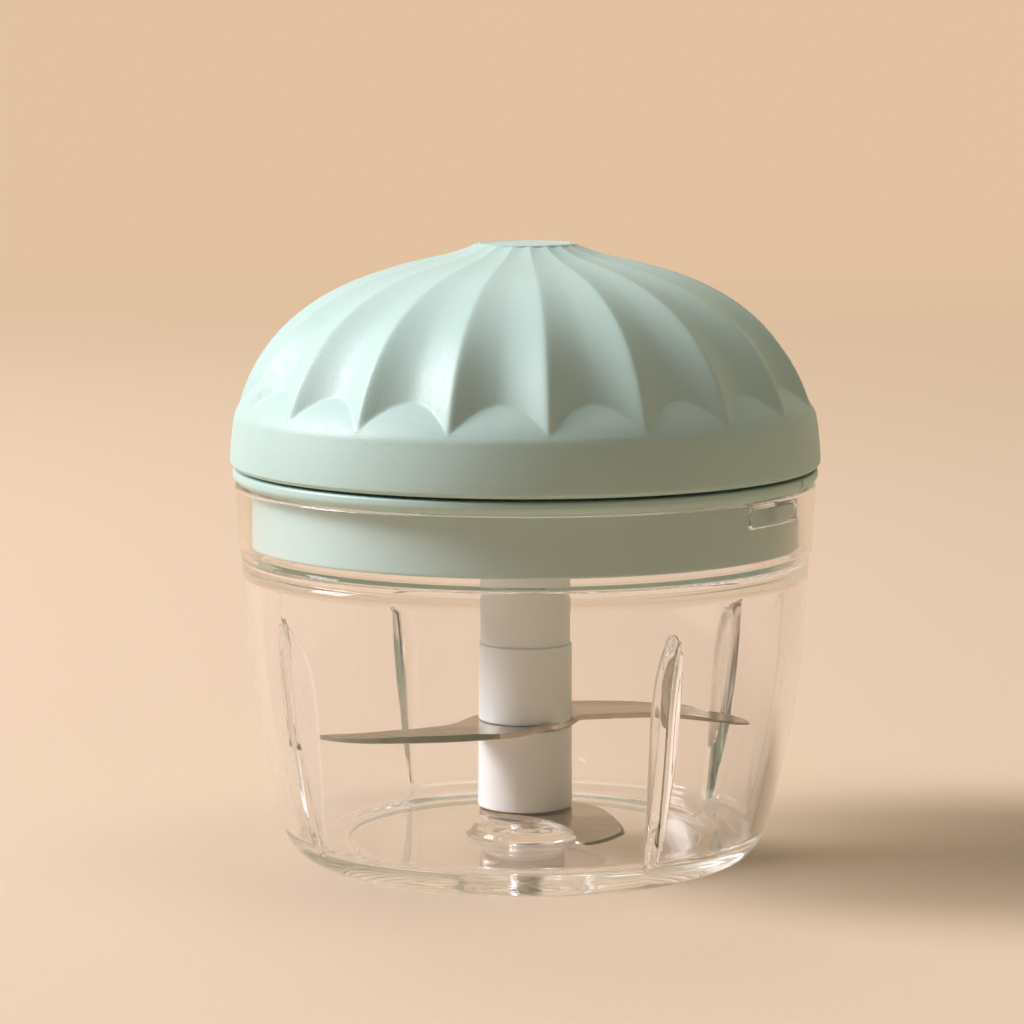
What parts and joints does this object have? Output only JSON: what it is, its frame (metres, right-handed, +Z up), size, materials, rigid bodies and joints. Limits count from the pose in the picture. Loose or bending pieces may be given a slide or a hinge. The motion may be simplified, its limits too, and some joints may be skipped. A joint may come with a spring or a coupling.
{
  "type": "manual food masher",
  "caption": "Small hand-twisted garlic masher: clear round bowl, two-blade rotor, and a fluted dome lid that turns it through a planetary gear.",
  "frame": {"origin": "centre of the bowl's foot, on the surface it stands on", "axes": "+Z up along the axis of the bowl and the dome, -Y towards the front of the picture, +X to its right"},
  "size_m": [0.096, 0.096, 0.1003],
  "materials": {
    "clear_bowl": "clear moulded plastic, polished",
    "mint_shell": "mint green moulded plastic with a fine satin grain",
    "white_hub": "white moulded plastic, smooth satin",
    "blade_steel": "ground and polished stainless steel",
    "bright_steel": "turned steel",
    "gear_plastic": "natural acetal",
    "brass_bush": "turned brass",
    "seal_silicone": "soft mint silicone"
  },
  "bodies": {
    "bowl": {"bowl": "clear_bowl", "pivot_pin": "bright_steel"},
    "seal": {"lid_seal": "seal_silicone"},
    "lid": {"lid_base": "mint_shell", "shaft_bearing": "brass_bush", "gear_cover": "gear_plastic", "planet_pin_1": "bright_steel", "planet_pin_2": "bright_steel", "planet_pin_3": "bright_steel", "cover_screw_1": "bright_steel", "cover_screw_2": "bright_steel", "cover_screw_3": "bright_steel", "mast_screw": "bright_steel", "thrust_washer": "bright_steel"},
    "dome": {"dome_shell": "mint_shell", "ring_gear": "gear_plastic", "ring_screw_1": "bright_steel", "ring_screw_2": "bright_steel", "ring_screw_3": "bright_steel", "ring_screw_4": "bright_steel", "dome_bush": "brass_bush", "top_cap": "mint_shell"},
    "planet_1": {"planet_gear_1": "gear_plastic"},
    "planet_2": {"planet_gear_2": "gear_plastic"},
    "planet_3": {"planet_gear_3": "gear_plastic"},
    "drive": {"drive_shaft": "bright_steel", "sun_gear": "gear_plastic", "shaft_clip": "bright_steel"},
    "rotor_seat": {"pivot_bush": "brass_bush"},
    "rotor": {"rotor_core": "gear_plastic", "blade_lower": "blade_steel", "hub_lower": "white_hub", "blade_upper": "blade_steel", "hub_upper": "white_hub", "hub_collar": "white_hub"}
  },
  "joints": [
    {"name": "lid_lift", "type": "slide", "parent": "bowl", "child": "seal", "axis": [0, 0, 1], "range_m": [0, 0.07]},
    {"name": "lid_turn", "type": "hinge", "parent": "seal", "child": "lid", "pos_m": [0, 0, 0.062], "axis": [0, 0, -1], "range_deg": [0, 9]},
    {"name": "dome_spin", "type": "hinge", "parent": "lid", "child": "dome", "pos_m": [0, 0, 0.07], "axis": [0, 0, 1], "continuous": true},
    {"name": "planet_1_spin", "type": "hinge", "parent": "lid", "child": "planet_1", "pos_m": [0, -0.015, 0.0684], "axis": [0, 0, 1], "continuous": true},
    {"name": "planet_2_spin", "type": "hinge", "parent": "lid", "child": "planet_2", "pos_m": [0.01299, 0.0075, 0.0684], "axis": [0, 0, 1], "continuous": true},
    {"name": "planet_3_spin", "type": "hinge", "parent": "lid", "child": "planet_3", "pos_m": [-0.01299, 0.0075, 0.0684], "axis": [0, 0, 1], "continuous": true},
    {"name": "drive_spin", "type": "hinge", "parent": "lid", "child": "drive", "pos_m": [0, 0, 0.06], "axis": [0, 0, 1], "continuous": true},
    {"name": "rotor_lift", "type": "slide", "parent": "bowl", "child": "rotor_seat", "axis": [0, 0, 1], "range_m": [0, 0.035]},
    {"name": "rotor_spin", "type": "hinge", "parent": "rotor_seat", "child": "rotor", "pos_m": [0, 0, 0.02], "axis": [0, 0, 1], "continuous": true}
  ],
  "couplings": [
    {"joint": "planet_1_spin", "follows": "dome_spin", "ratio": 2.6667},
    {"joint": "planet_2_spin", "follows": "dome_spin", "ratio": 2.6667},
    {"joint": "planet_3_spin", "follows": "dome_spin", "ratio": 2.6667},
    {"joint": "drive_spin", "follows": "dome_spin", "ratio": -4},
    {"joint": "rotor_spin", "follows": "dome_spin", "ratio": -4},
    {"joint": "rotor_lift", "follows": "lid_lift", "ratio": 0.5}
  ]
}
